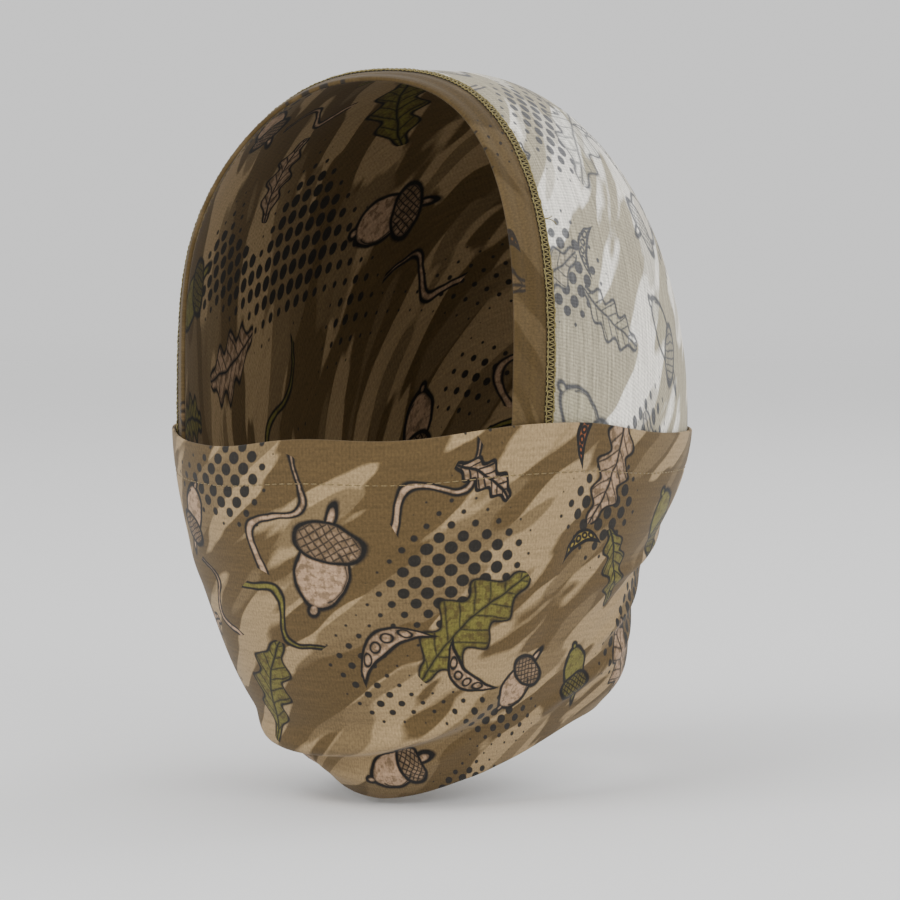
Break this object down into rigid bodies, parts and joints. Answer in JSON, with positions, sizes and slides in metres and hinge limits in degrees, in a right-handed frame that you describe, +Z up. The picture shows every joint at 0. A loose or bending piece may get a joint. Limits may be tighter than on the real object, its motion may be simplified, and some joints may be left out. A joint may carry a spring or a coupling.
{
  "type": "camouflage face mask",
  "caption": "Knitted camouflage tube worn as a hood, its neck end turned up as a mask over the nose and chin.",
  "frame": {"origin": "centre of the wearer's head at the level of the mask's top edge, as worn", "axes": "+Z up towards the crown, +X towards the wearer's left, the face opening faces -Y"},
  "size_m": [0.1664, 0.1967, 0.234],
  "materials": {
    "printed_knit": "matte printed polyester single jersey, brown and tan tiger-stripe camouflage with dark dots and outlined woodland drawings",
    "pale_reverse": "pale grey-green reverse of the printed jersey, the print showing through faintly, fine knit ribs",
    "olive_overlock_thread": "olive-yellow textured polyester overlock thread",
    "brown_needle_thread": "brown-olive polyester sewing thread"
  },
  "bodies": {
    "hood": {"hood_cloth": "pale_reverse", "face_hem": "printed_knit", "face_hem_overlock": "olive_overlock_thread", "face_hem_needle_thread": "brown_needle_thread", "mask_back_cloth": "printed_knit", "nose_hem_back": "printed_knit", "nose_hem_back_needle_thread": "brown_needle_thread", "nose_hem_back_looper_thread": "olive_overlock_thread"},
    "mask": {"mask_front_cloth": "printed_knit", "nose_hem_front": "printed_knit", "nose_hem_front_needle_thread": "brown_needle_thread", "nose_hem_front_looper_thread": "olive_overlock_thread"}
  },
  "joints": [
    {"name": "mask_pull_down", "type": "slide", "parent": "hood", "child": "mask", "axis": [0, 0, -1], "range_m": [0, 0.065]}
  ]
}
